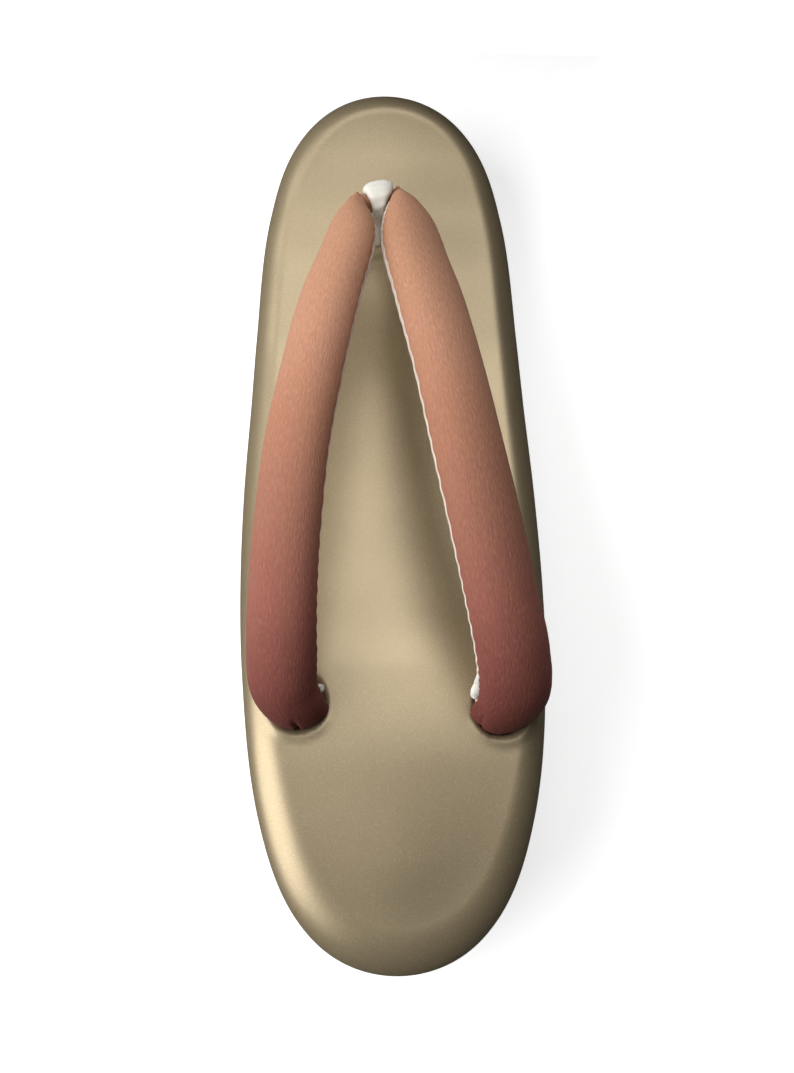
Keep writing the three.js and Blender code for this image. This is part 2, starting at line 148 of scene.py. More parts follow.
def finer(grid: Array, factor: int, axis: int, closed: bool) -> Array:
    """Fills in a grid of points with a smooth curve along one axis.

    Args:
        grid: the points.
        factor: how many steps each old step becomes.
        axis: the axis to refine.
        closed: whether the axis runs round on itself.

    Returns:
        The finer grid.
    """
    g = np.moveaxis(grid, axis, 0)
    n = len(g)
    if closed:
        a, b, c, d = (np.roll(g, shift, axis=0) for shift in (1, 0, -1, -2))
    else:
        e = np.concatenate([2 * g[:1] - g[1:2], g, 2 * g[-1:] - g[-2:-1]])
        a, b, c, d = e[: n - 1], e[1:n], e[2 : n + 1], e[3:]
    parts = []
    for step in range(factor):
        t = step / factor
        parts.append(
            0.5 * (2 * b + (c - a) * t + (2 * a - 5 * b + 4 * c - d) * t**2
                   + (3 * b - a - 3 * c + d) * t**3)
        )
    out = np.stack(parts, axis=1).reshape((-1,) + g.shape[1:])
    if not closed:
        out = np.concatenate([out, g[-1:]])
    return np.moveaxis(out, 0, axis)


def grid_normals(grid: Array) -> Array:
    """Unit normals of a tube grid whose rows run along it and columns around it."""
    along = np.gradient(grid, axis=0)
    around = np.roll(grid, -1, axis=1) - np.roll(grid, 1, axis=1)
    return unit(np.cross(around, along))


def mesh_object(
    name: str,
    grid: Array,
    caps: bool = True,
    uv: Array | None = None,
    flip: bool = False,
) -> bpy.types.Object:
    """A smooth closed mesh from rings of points.

    Args:
        name: the object's name.
        grid: rings of points, each closed on itself.
        caps: whether the two end rings are closed by a fan.
        uv: for each ring and column, and one column more, the place on the cloth in metres.
        flip: whether to turn the faces over.

    Returns:
        The object, linked to the scene.
    """
    rows, columns = grid.shape[:2]
    verts = grid.reshape(-1, 3)
    i, j = np.meshgrid(np.arange(rows - 1), np.arange(columns), indexing="ij")
    nxt = (j + 1) % columns
    quads = np.stack(
        [i * columns + j, i * columns + nxt, (i + 1) * columns + nxt, (i + 1) * columns + j], -1
    ).reshape(-1, 4)
    faces = [tuple(q) for q in quads.tolist()]
    uvs = []
    if uv is not None:
        corner = [uv[i, j], uv[i, j + 1], uv[i + 1, j + 1], uv[i + 1, j]]
        uvs = np.stack(corner, 2).reshape(-1, 4, 2).tolist()
    if caps:
        centres = [grid[0].mean(0), grid[-1].mean(0)]
        verts = np.vstack([verts, centres])
        for ring, centre, forward in ((0, len(verts) - 2, False), (rows - 1, len(verts) - 1, True)):
            for k in range(columns):
                a, b = ring * columns + k, ring * columns + (k + 1) % columns
                faces.append((centre, a, b) if forward else (centre, b, a))
                if uv is not None:
                    uvs.append([uv[ring, k].tolist()] * 3)
    if flip:
        faces = [tuple(reversed(f)) for f in faces]
        uvs = [list(reversed(u)) for u in uvs]
    mesh = bpy.data.meshes.new(name)
    mesh.from_pydata(verts.tolist(), [], faces)
    if uv is not None:
        layer = mesh.uv_layers.new(name="cloth")
        flat = np.array([c for face in uvs for c in face], np.float32)
        layer.data.foreach_set("uv", flat.ravel())
    mesh.polygons.foreach_set("use_smooth", [True] * len(mesh.polygons))
    mesh.update()
    piece = bpy.data.objects.new(name, mesh)
    bpy.context.scene.collection.objects.link(piece)
    return piece


def merge_close(piece: bpy.types.Object, distance: float = 2e-6) -> None:
    """Joins the points of a mesh that lie on each other, and drops faces without an area."""
    shape = bmesh.new()
    shape.from_mesh(piece.data)
    bmesh.ops.remove_doubles(shape, verts=shape.verts, dist=distance)
    bmesh.ops.dissolve_degenerate(shape, edges=shape.edges, dist=distance / 2)
    bmesh.ops.recalc_face_normals(shape, faces=shape.faces)
    for face in shape.faces:
        face.smooth = True
    shape.to_mesh(piece.data)
    shape.free()


def adopt(
    piece: bpy.types.Object,
    material: bpy.types.Material,
    stands_for: Sequence[str] = (),
) -> bpy.types.Object:
    """Gives a finished piece its material and its place in the frame.

    Args:
        piece: the finished object.
        material: the material that it wears.
        stands_for: the CAD nodes that it replaces.

    Returns:
        The same object.
    """
    if not piece.data.materials:
        piece.data.materials.append(material)
    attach(piece, BODY)
    if stands_for:
        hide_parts(*stands_for)
    log.info("%s: %d faces", piece.name, len(piece.data.polygons))
    return piece


# Shaders


def colour(code: str) -> tuple[float, float, float, float]:
    """A hex colour as the linear values that a shader takes."""
    parts = [int(code[i : i + 2], 16) / 255 for i in (0, 2, 4)]
    linear = [c / 12.92 if c <= 0.04045 else ((c + 0.055) / 1.055) ** 2.4 for c in parts]
    return (*linear, 1.0)


class Wire:
    """A node's output that can stand in arithmetic."""

    def __init__(self, surface: "Surface", socket: bpy.types.NodeSocket) -> None:
        """Keeps the material being built and the socket."""
        self.surface = surface
        self.socket = socket

    def _math(self, operation: str, *values: Value) -> "Wire":
        """Adds one Math node."""
        inputs = {k: value for k, value in enumerate(values)}
        return self.surface.node("ShaderNodeMath", {"operation": operation}, inputs)

    def __add__(self, other: Value) -> "Wire":
        """self + other."""
        return self._math("ADD", self, other)

    def __sub__(self, other: Value) -> "Wire":
        """self - other."""
        return self._math("SUBTRACT", self, other)

    def __rsub__(self, other: Value) -> "Wire":
        """other - self."""
        return self._math("SUBTRACT", other, self)

    def __mul__(self, other: Value) -> "Wire":
        """self * other."""
        return self._math("MULTIPLY", self, other)

    def __truediv__(self, other: Value) -> "Wire":
        """self / other."""
        return self._math("DIVIDE", self, other)

    def clamp(self) -> "Wire":
        """Limits the value to 0 to 1."""
        return self.surface.node("ShaderNodeClamp", {}, {"Value": self})


class Surface:
    """One material while it is being built."""

    def __init__(self, name: str) -> None:
        """Starts an empty node tree."""
        self.material = bpy.data.materials.new(name)
        self.material.use_nodes = True
        self.tree = self.material.node_tree
        self.tree.nodes.clear()

    def node(
        self,
        kind: str,
        settings: dict[str, object],
        inputs: dict[str | int, object],
        output: str | int = 0,
    ) -> Wire:
        """Adds any node.

        Args:
            kind: the node's type.
            settings: its properties, or a list of stops under "stops" for a ramp.
            inputs: values or wires by the socket's name or number.
            output: the output that is wanted.

        Returns:
            The wire of that output.
        """
        node = self.tree.nodes.new(kind)
        for key, value in settings.items():
            if key == "stops":
                self._stops(node.color_ramp, value)
            else:
                setattr(node, key, value)
        for key, value in inputs.items():
            if isinstance(value, Wire):
                self.tree.links.new(value.socket, node.inputs[key])
            else:
                node.inputs[key].default_value = value
        return Wire(self, node.outputs[output])

    @staticmethod
    def _stops(ramp: bpy.types.ColorRamp, stops: Sequence[tuple[float, tuple]]) -> None:
        """Sets the stops of a ramp."""
        while len(ramp.elements) > 1:
            ramp.elements.remove(ramp.elements[-1])
        for k, (place, value) in enumerate(stops):
            element = ramp.elements[0] if k == 0 else ramp.elements.new(place)
            element.position = place
            element.color = value

    def place(self, scale: Sequence[float] = (1, 1, 1), uv: str | None = None) -> Wire:
        """Object coordinates, or a piece's own UV map, scaled per axis."""
        if uv:
            source = self.node("ShaderNodeUVMap", {"uv_map": uv}, {})
        else:
            source = self.node("ShaderNodeTexCoord", {}, {}, "Object")
        return self.node("ShaderNodeMapping", {}, {"Vector": source, "Scale": tuple(scale)})

    def noise(self, vector: Wire, scale: float, detail: float = 2, rough: float = 0.5) -> Wire:
        """Soft noise from 0 to 1."""
        inputs = {"Vector": vector, "Scale": scale, "Detail": detail, "Roughness": rough}
        return self.node("ShaderNodeTexNoise", {}, inputs)

    def mix(self, factor: Value, a: object, b: object) -> Wire:
        """Mixes two colours."""
        settings = {"data_type": "RGBA"}
        return self.node("ShaderNodeMix", settings, {0: factor, 6: a, 7: b}, 2)

    def bump(self, height: Wire, strength: float, depth: float, below: Wire | None = None) -> Wire:
        """Turns a height from 0 to 1 into a normal; depth is in metres."""
        inputs: dict[str | int, object] = {"Height": height, "Strength": strength, "Distance": depth}
        if below:
            inputs["Normal"] = below
        return self.node("ShaderNodeBump", {}, inputs)

    def finish(self, inputs: dict[str | int, object]) -> bpy.types.Material:
        """Adds the shader and the output, and gives the material."""
        shader = self.node("ShaderNodeBsdfPrincipled", {}, inputs)
        end = self.tree.nodes.new("ShaderNodeOutputMaterial")
        self.tree.links.new(shader.socket, end.inputs["Surface"])
        return self.material


@dataclass(frozen=True)
class PearlLeather:
    """Smooth leather with a pearl gold coat, a fine pressed grain and painted glints in its colour."""

    deep: str = "988669"
    light: str = "ad9d7d"
    painted_glint_tone: str = "ece2c4"
    crease: str = "6f6040"
    metallic: float = 0.56
    roughness: float = 0.38
    coat: float = 0.35
    coat_roughness: float = 0.42
    painted_glint_share: float = 0.14
    cloud: float = 38 * MM
    grain: float = 0.75 * MM
    pore: float = 0.32 * MM
    grain_depth: float = 0.05 * MM

    def build(self) -> bpy.types.Material:
        """Makes the material."""
        s = Surface("pearl_leather")
        place = s.place()
        cloud = s.noise(place, 1 / self.cloud, 3)
        cell_inputs = {"Vector": place, "Scale": 1 / self.grain, "Randomness": 1.0}
        cells = s.node(
            "ShaderNodeTexVoronoi", {"feature": "DISTANCE_TO_EDGE"}, cell_inputs, "Distance"
        )
        creases = (cells * 3.2).clamp()
        pores = s.noise(place, 1 / self.pore, 2, 0.6)
        # Fine noise whose peaks become pale specks in the base colour: painted glints of the pearl
        # flakes.
        glint_noise = s.noise(place, 1 / self.pore, 1, 0.4)
        painted_glints = ((glint_noise - 0.53) * 5).clamp()
        base = s.mix(cloud, colour(self.deep), colour(self.light))
        base = s.mix(painted_glints * self.painted_glint_share, base, colour(self.painted_glint_tone))
        base = s.mix((1 - creases) * 0.12, base, colour(self.crease))
        normal = s.bump(creases, 0.1, self.grain_depth)
        normal = s.bump(pores, 0.18, self.grain_depth, normal)
        return s.finish(
            {
                "Base Color": base,
                "Metallic": self.metallic,
                "Roughness": (pores - 0.5) * 0.22 + self.roughness,
                "Coat Weight": self.coat,
                "Coat Roughness": self.coat_roughness,
                "Normal": normal,
            }
        )


@dataclass(frozen=True)
class Crepe:
    """Dyed crepe, whose colour deepens from the toe to the heel, with painted shade in its pebbles'
    hollows and painted highlights on their tops.
    """

    toe_end: float = -84 * MM
    heel_end: float = 66 * MM
    pebble: float = 0.56 * MM
    thread: float = 0.34 * MM
    pebble_depth: float = 0.22 * MM
    painted_hollow_shade: str = "4a2526"
    wear_and_highlight: str = "e0b79f"
    stops: tuple[tuple[float, str], ...] = (
        (0.0, "c39273"),
        (0.15, "bd8d70"),
        (0.33, "bd8b70"),
        (0.5, "ad7a61"),
        (0.66, "9d6a57"),
        (0.79, "935c4f"),
        (0.9, "7d483f"),
        (1.0, "602f2a"),
    )

    def build(self) -> bpy.types.Material:
        """Makes the material."""
        s = Surface("strap_crepe")
        source = s.place()
        split = s.node("ShaderNodeSeparateXYZ", {}, {"Vector": source}, "Y")
        along = (split - self.toe_end) / (self.heel_end - self.toe_end)
        cloth = s.place(uv="cloth")
        mottle = s.noise(cloth, 1 / (9 * MM), 2)
        fade = along + (mottle - 0.5) * 0.07
        stops = [(place, colour(code)) for place, code in self.stops]
        dye = s.node("ShaderNodeValToRGB", {"stops": stops}, {"Fac": fade}, "Color")
        pebbles = s.noise(s.place((0.34, 1, 1), "cloth"), 1 / self.pebble, 2, 0.65)
        threads = s.noise(s.place((0.22, 1, 1), "cloth"), 1 / self.thread, 1, 0.5)
        grain = pebbles * 0.65 + threads * 0.35
        shade = ((grain - 0.36) * 3.2).clamp()
        # Painted shade: the low places between the pebbles are darkened towards a deep red.
        base = s.mix((1 - shade) * 0.24, dye, colour(self.painted_hollow_shade))
        # Painted highlight: the tops of the raised pebbles are lightened towards a pale peach.
        base = s.mix((shade - 0.6).clamp() * 0.12, base, colour(self.wear_and_highlight))
        normal = s.bump(grain, 0.9, self.pebble_depth)
        return s.finish(
            {
                "Base Color": base,
                "Roughness": 0.82,
                "Specular IOR Level": 0.12,
                "Sheen Weight": 0.03,
                "Sheen Roughness": 0.45,
                "Sheen Tint": (1.0, 0.8, 0.7, 1.0),
                "Normal": normal,
            }
        )


@dataclass(frozen=True)
class Velvet:
    """Cloth with a short pile, white for the toe loop and warmer for the straps' lining."""

    name: str = "white_velvet"
    tone: str = "e2dfd6"
    shade: str = "c6c1b5"
    pile: float = 0.3 * MM
    clump: float = 2.2 * MM

    def build(self) -> bpy.types.Material:
        """Makes the material."""
        s = Surface(self.name)
        place = s.place()
        pile = s.noise(place, 1 / self.pile, 3, 0.6)
        clumps = s.noise(place, 1 / self.clump, 2)
        base = s.mix(((clumps - 0.4) * 1.6).clamp() * 0.5, colour(self.tone), colour(self.shade))
        normal = s.bump(pile, 0.5, 0.18 * MM)
        normal = s.bump(clumps, 0.35, 0.3 * MM, normal)
        return s.finish(
            {
                "Base Color": base,
                "Roughness": 0.95,
                "Specular IOR Level": 0.15,
                "Sheen Weight": 0.5,
                "Sheen Roughness": 0.3,
                "Normal": normal,
            }
        )


@dataclass(frozen=True)
class SoleRubber:
    """Dull brown sole rubber with a fine pebble."""

    tone: str = "7a6a50"
    wear_and_highlight: str = "8d7d62"
    pit: str = "5b4f3b"
    cell: float = 1.4 * MM
    cloud: float = 22 * MM
    grain: float = 0.5 * MM

    def build(self) -> bpy.types.Material:
        """Makes the material."""
        s = Surface("sole_rubber")
        place = s.place()
        cell_inputs = {"Vector": place, "Scale": 1 / self.cell, "Randomness": 0.9}
        cells = s.node("ShaderNodeTexVoronoi", {"feature": "SMOOTH_F1"}, cell_inputs, "Distance")
        cloud = s.noise(place, 1 / self.cloud, 3)
        fine = s.noise(place, 1 / self.grain, 2)
        # The rubber's lighter tone, spread by slow random noise, is wear.
        base = s.mix(cloud, colour(self.tone), colour(self.wear_and_highlight))
        base = s.mix((cells * 0.5).clamp(), base, colour(self.pit))
        normal = s.bump(1 - cells, 0.4, 0.2 * MM)
        normal = s.bump(fine, 0.2, 0.06 * MM, normal)
        return s.finish(
            {
                "Base Color": base,
                "Roughness": (fine - 0.5) * 0.2 + 0.72,
                "Specular IOR Level": 0.35,
                "Normal": normal,
            }
        )


@dataclass(frozen=True)
class Thread:
    """Plain sewing thread."""

    name: str = "thread"
    tone: str = "e9e4d8"
    shade: str = "a59c88"
    twist: float = 0.2 * MM

    def build(self) -> bpy.types.Material:
        """Makes the material."""
        s = Surface(self.name)
        twist = s.noise(s.place(), 1 / self.twist, 1)
        base = s.mix(twist * 0.4, colour(self.tone), colour(self.shade))
        normal = s.bump(twist, 0.3, 0.05 * MM)
        return s.finish({"Base Color": base, "Roughness": 0.7, "Normal": normal})


# Sole


@dataclass
class SoleShape:
    """The sole's outline and heights, shared by all that is built on it. Millimetres."""

    length: float = 240
    width: float = 79
    heel_height: float = 46.5
    ball_height: float = 22
    toe_height: float = 29
    toe_spring: float = 7
    roll_side: float = 6.8
    roll_heel: float = 11
    roll_toe: float = 7.6
    roll_inner_heel: float = 1.6
    spine_margin: float = 27
    fullness: Column = field(
        default_factory=lambda: Column(
            [(0, 1.51), (0.05, 1.365), (0.15, 1.19), (0.3, 1.06), (0.5, 0.997), (0.6, 0.985),
             (0.7, 1.015), (0.85, 1.178), (0.95, 1.392), (1, 1.53)]
        )
    )
    heel_share: Column = field(
        default_factory=lambda: Column(
            [(0, 1), (0.1, 0.99), (0.2, 0.955), (0.3, 0.805), (0.4, 0.52), (0.5, 0.265),
             (0.6, 0.105), (0.7, 0.01), (0.78, 0), (1, 0)]
        )
    )
    toe_share: Column = field(
        default_factory=lambda: Column([(0, 0), (0.78, 0), (0.85, 0.12), (0.92, 0.43), (1, 1)])
    )
    lift_share: Column = field(
        default_factory=lambda: Column([(0, 0), (0.8, 0), (0.87, 0.12), (0.94, 0.47), (1, 1)])
    )

    def share(self, y: Array) -> Array:
        """The share of the way from heel to toe."""
        return 0.5 - np.asarray(y, float) / self.length

    def top(self, y: Array) -> Array:
        """Height of the footbed's flat top."""
        at = self.share(y)
        return (
            self.ball_height
            + (self.heel_height - self.ball_height) * self.heel_share(at)
            + (self.toe_height - self.ball_height) * self.toe_share(at)
        )

    def floor(self, y: Array) -> Array:
        """Height of the underside."""
        return self.toe_spring * self.lift_share(self.share(y))

    def outline(self, turn: Array) -> Array:
        """Points of the outline; turn runs once around from the heel, over the outer side."""
        angle = turn * TAU
        along = (1 - np.cos(angle)) / 2
        half = self.width / 2 * np.sin(angle) * self.fullness(along)
        return np.stack([-half, self.length / 2 - along * self.length], -1)

    def inward(self, turn: Array) -> Array:
        """Unit directions from the outline towards the inside."""
        ahead = unit(self.outline(turn + 1e-3) - self.outline(turn - 1e-3))
        return np.stack([-ahead[..., 1], ahead[..., 0]], -1)

    def roll(self, turn: Array) -> Array:
        """Width of the footbed's rounded edge."""
        end = np.cos(turn * TAU)
        wide = np.where(end > 0, self.roll_heel, self.roll_toe)
        inner_heel = smoothstep(0, 0.7, end) * smoothstep(0, 0.5, -np.sin(turn * TAU))
        return self.roll_side + (wide - self.roll_side) * end**4 + self.roll_inner_heel * inner_heel

    def ring(
        self, turns: Array, inset: Array | float, share: float, height: Callable[[Array], Array]
    ) -> Array:
        """One ring of a layer, moved in from the outline and towards the spine."""
        edge = self.outline(turns) + self.inward(turns) * np.asarray(inset)[..., None]
        limit = self.length / 2 - self.spine_margin
        spine = np.stack([np.zeros(len(turns)), np.clip(edge[:, 1], -limit, limit)], -1)
        place = edge + (spine - edge) * share
        return np.column_stack([place, height(place[:, 1])])


@dataclass
class Hole:
    """A hole in the footbed with the pressed seat around it. Millimetres."""

    x: float
    y: float
    seat_radius: float
    seat_depth: float
    throat: float
    throat_depth: float = 5
    seat_shift: tuple[float, float] = (0, 0)


@dataclass
class Footbed:
    """The padded leather top with its rounded edge. Millimetres."""

    shape: SoleShape
    holes: Sequence[Hole]
    thickness: float = 8
    tuck: float = 1.6
    drop: float = 5.8
    roundness: float = 1.3
    crown: float = 0.7
    lip: float = 0.45
    least: float = 0.6
    steps: int = 560
    roll_rings: int = 20
    spine_rings: int = 56

    def pressed(self, x: Array, y: Array) -> Array:
        """How far the seats and the holes lower the top."""
        depth = np.zeros_like(x)
        for hole in self.holes:
            behind = y - hole.y - hole.seat_shift[1]
            r = np.hypot(x - hole.x - hole.seat_shift[0], behind)
            seat = hole.seat_depth * (1 - smoothstep(0.78, 1.0, r / hole.seat_radius))
            ridge = bump_at(hole.seat_radius * 1.12, hole.seat_radius * 0.24, r)
            lip = self.lip * ridge * smoothstep(0.2, 1.0, behind / np.maximum(r, 1e-6))
            middle = np.hypot(x - hole.x, y - hole.y)
            throat = hole.throat_depth * (1 - smoothstep(0.72, 1.05, middle / hole.throat))
            depth += seat - lip + throat
        return depth

    def build(self, material: bpy.types.Material) -> bpy.types.Object:
        """Makes the footbed's mesh.

        Args:
            material: the leather.

        Returns:
            The finished piece.
        """
        shape = self.shape
        turns = np.arange(self.steps) / self.steps
        under = lambda y: shape.top(y) - self.thickness  # noqa: E731
        rings = [shape.ring(turns, self.tuck, share, under) for share in (1, 0.75, 0.5, 0.25, 0)]
        first = len(rings)
        for angle in np.linspace(math.pi / 2, 0, self.roll_rings):
            drop = self.drop * (1 - max(math.cos(angle), 0) ** self.roundness)
            height = lambda y, d=drop: shape.top(y) - d  # noqa: E731
            rings.append(shape.ring(turns, shape.roll(turns) * (1 - math.sin(angle)), 0, height))
        for share in np.linspace(0, 1, self.spine_rings)[1:]:
            rise = self.crown * float(smoothstep(0, 1, share))
            height = lambda y, r=rise: shape.top(y) + r  # noqa: E731
            rings.append(shape.ring(turns, shape.roll(turns), share, height))
        grid = np.stack(rings)
        x, y, z = np.moveaxis(grid[first:], -1, 0)
        grid[first:, :, 2] = np.maximum(z - self.pressed(x, y), under(y) + self.least)
        piece = mesh_object("footbed_leather", grid * MM, caps=False)
        merge_close(piece)
        adopt(piece, material, ["footbed"])
        return piece


@dataclass
class Platform:
    """The wedge with the leather drawn round its wall."""

    shape: SoleShape
    outsole: float = 4
    footbed: float = 8
    gap: float = 0.3
    inset: float = 1.2
    lean: float = 2.4
    turn: float = 1.5
    shoulder: float = 0.8
    steps: int = 480

    def build(self, material: bpy.types.Material) -> bpy.types.Object:
        """Makes the platform's mesh.

        Args:
            material: the leather.

        Returns:
            The finished piece.
        """
        shape = self.shape
        turns = np.arange(self.steps) / self.steps
        under = lambda y: shape.floor(y) + self.outsole + self.gap  # noqa: E731
        top = lambda y: shape.top(y) - self.footbed - self.gap  # noqa: E731
        lean = Column([(0, 1), (0.5, 0.3), (0.9, 0), (1, 0)])
        foot = self.inset + self.lean + self.turn
        rings = [shape.ring(turns, foot, share, under) for share in (1, 0.6, 0.25, 0)]
        for a in np.linspace(0, 1, 6)[1:]:
            inset = foot - self.turn * math.sin(a * math.pi / 2)
            rise = self.turn * (1 - math.cos(a * math.pi / 2))
            rings.append(shape.ring(turns, inset, 0, lambda y, r=rise: under(y) + r))
        for t in np.linspace(0, 0.94, 14)[1:]:
            height = lambda y, t=t: (under(y) + self.turn) * (1 - t) + top(y) * t  # noqa: E731
            rings.append(shape.ring(turns, self.inset + self.lean * lean(t), 0, height))
        for share in (0, 0.25, 0.6, 1):
            rings.append(shape.ring(turns, self.inset + self.shoulder, share, top))
        piece = mesh_object("platform_leather", np.stack(rings) * MM, caps=False)
        merge_close(piece)
        return adopt(piece, material, ["platform"])


@dataclass
class Stitches:
    """A row of short stitches along a path, laid by Geometry Nodes. Metres."""

    name: str
    spacing: float
    length: float
    width: float
    seed: int = 7

    def _tree(self, material: bpy.types.Material) -> bpy.types.NodeTree:
        """Builds the node tree with its named inputs."""
        tree = bpy.data.node_groups.new(self.name + "_row", "GeometryNodeTree")
        face = tree.interface
        face.new_socket("Geometry", in_out="INPUT", socket_type="NodeSocketGeometry")
        for label in ("Spacing", "Length", "Width"):
            face.new_socket(label, in_out="INPUT", socket_type="NodeSocketFloat")
        face.new_socket("Geometry", in_out="OUTPUT", socket_type="NodeSocketGeometry")

        def add(
            kind: str, settings: dict[str, object], links: dict[str | int, object]
        ) -> bpy.types.Node:
            """Adds one node with its settings, values and links."""
            node = tree.nodes.new(kind)
            for key, value in settings.items():
                setattr(node, key, value)
            for key, value in links.items():
                if isinstance(value, bpy.types.NodeSocket):
                    tree.links.new(value, node.inputs[key])
                else:
                    node.inputs[key].default_value = value
            return node

        entry = add("NodeGroupInput", {}, {})
        curve = add("GeometryNodeMeshToCurve", {}, {"Mesh": entry.outputs["Geometry"]})
        even = add(
            "GeometryNodeResampleCurve",
            {"mode": "LENGTH"},
            {"Curve": curve.outputs["Curve"], "Length": entry.outputs["Spacing"]},
        )
        tangent = add("GeometryNodeInputTangent", {}, {})
        out = add("GeometryNodeInputNamedAttribute", {"data_type": "FLOAT_VECTOR"}, {"Name": "out"})
        lie = add(
            "FunctionNodeAlignRotationToVector", {"axis": "X"}, {"Vector": tangent.outputs["Tangent"]}
        )
        stand = add(
            "FunctionNodeAlignRotationToVector",
            {"axis": "Z", "pivot_axis": "X"},
            {"Rotation": lie.outputs["Rotation"], "Vector": out.outputs["Attribute"]},
        )
        bead = add("GeometryNodeMeshUVSphere", {}, {"Segments": 8, "Rings": 5, "Radius": 0.5})
        width = entry.outputs["Width"]
        size = add("ShaderNodeCombineXYZ", {}, {"X": entry.outputs["Length"], "Y": width, "Z": width})
        vary = add(
            "FunctionNodeRandomValue",
            {"data_type": "FLOAT"},
            {2: 0.9, 3: 1.1, "Seed": self.seed},
        )
        scale = add(
            "ShaderNodeVectorMath", {"operation": "SCALE"}, {0: size.outputs[0], "Scale": vary.outputs[1]}
        )
        rows = add(
            "GeometryNodeInstanceOnPoints",
            {},
            {
                "Points": even.outputs["Curve"],
                "Instance": bead.outputs["Mesh"],
                "Rotation": stand.outputs["Rotation"],
                "Scale": scale.outputs["Vector"],
            },
        )
        real = add("GeometryNodeRealizeInstances", {}, {"Geometry": rows.outputs["Instances"]})
        dressed = add(
            "GeometryNodeSetMaterial", {}, {"Geometry": real.outputs["Geometry"], "Material": material}
        )
        smooth = add("GeometryNodeSetShadeSmooth", {}, {"Geometry": dressed.outputs["Geometry"]})
        add("NodeGroupOutput", {}, {"Geometry": smooth.outputs["Geometry"]})
        return tree

    def lay(
        self, paths: Sequence[tuple[Array, Array, bool]], material: bpy.types.Material
    ) -> bpy.types.Object:
        """Lays stitches along paths.

        Args:
            paths: for each path its points, its outward directions and whether it is closed.
            material: the thread.

        Returns:
            The stitches as one plain mesh object.
        """
        verts = np.vstack([points for points, _, _ in paths])
        edges, start = [], 0
        for points, _, closed in paths:
            n = len(points)
            edges += [(start + k, start + k + 1) for k in range(n - 1)]
            if closed:
                edges.append((start + n - 1, start))
            start += n
        mesh = bpy.data.meshes.new(self.name + "_path")
        mesh.from_pydata(verts.tolist(), edges, [])
        outward = mesh.attributes.new("out", "FLOAT_VECTOR", "POINT")
        outward.data.foreach_set("vector", np.vstack([d for _, d, _ in paths]).ravel())
        guide = bpy.data.objects.new(self.name + "_guide", mesh)
        bpy.context.scene.collection.objects.link(guide)
        modifier = guide.modifiers.new("row", "NODES")
        modifier.node_group = self._tree(material)
        values = {"Spacing": self.spacing, "Length": self.length, "Width": self.width}
        for item in modifier.node_group.interface.items_tree:
            if item.item_type == "SOCKET" and item.in_out == "INPUT" and item.name in values:
                modifier[item.identifier] = values[item.name]
        baked = bpy.data.meshes.new_from_object(
            guide.evaluated_get(bpy.context.evaluated_depsgraph_get())
        )
        baked.name = self.name
        row = bpy.data.objects.new(self.name, baked)
        bpy.context.scene.collection.objects.link(row)
        bpy.data.objects.remove(guide)
        return row


@dataclass
class Outsole:
    """The rubber sole with a sewn groove near its edge."""

    shape: SoleShape
    thickness: float = 4
    inset: float = 3.4
    edge: float = 0.8
    groove_inset: float = 9
    groove_width: float = 1.3
    groove_depth: float = 0.7
    chamfer: float = 0.3
    stitch_sink: float = 0.25
    stitch_points: int = 900
    steps: int = 480

    def build(
        self, material: bpy.types.Material, thread: bpy.types.Material
    ) -> list[bpy.types.Object]:
        """Makes the outsole and the stitches in its groove.

        Args:
            material: the rubber.
            thread: the thread.

        Returns:
            The finished pieces.
        """
        shape = self.shape
        turns = np.arange(self.steps) / self.steps
        top = lambda y: shape.floor(y) + self.thickness  # noqa: E731
        foot = self.inset + self.edge
        half = self.groove_width / 2
        inside = self.groove_inset + half
        rings = [shape.ring(turns, inside, share, shape.floor) for share in (1, 0.6, 0.25, 0)]
        for step in (0.6, 0.2, -0.2, -0.6, -1.0):
            depth = self.groove_depth if abs(step) < 0.7 else 0
            height = lambda y, d=depth: shape.floor(y) + d  # noqa: E731
            rings.append(shape.ring(turns, self.groove_inset + half * step, 0, height))
        for a in np.linspace(0, 1, 5):
            inset = foot - self.edge * math.sin(a * math.pi / 2)
            rise = self.edge * (1 - math.cos(a * math.pi / 2))
            rings.append(shape.ring(turns, inset, 0, lambda y, r=rise: shape.floor(y) + r))
        rings.append(shape.ring(turns, self.inset, 0, lambda y: top(y) - self.chamfer))
        for share in (0, 0.25, 0.6, 1):
            rings.append(shape.ring(turns, self.inset + self.chamfer, share, top))
        piece = mesh_object("outsole_rubber", np.stack(rings) * MM, caps=False)
        merge_close(piece)
        adopt(piece, material, ["outsole"])
        around = np.arange(self.stitch_points) / self.stitch_points
        depth = self.groove_depth - self.stitch_sink
        path = shape.ring(around, self.groove_inset, 0, lambda y: shape.floor(y) + depth) * MM
        down = np.tile([0.0, 0.0, -1.0], (len(path), 1))
        row = Stitches("outsole_stitches", spacing=4.2 * MM, length=3.0 * MM, width=0.7 * MM)
        stitches = row.lay([(path, down, True)], thread)
        return [piece, adopt(stitches, thread)]


# Straps


class Row(NamedTuple):
    """One row of a strap's table, as shares of its sizes, and its tilt in degrees.

    along and spread run from the toe hole to the rear hole, rise is the height over the footbed,
    width and depth are those of the section, and tilt turns the outer edge down.
    """

    along: float
    spread: float
    rise: float
    width: float
    depth: float
    tilt: float


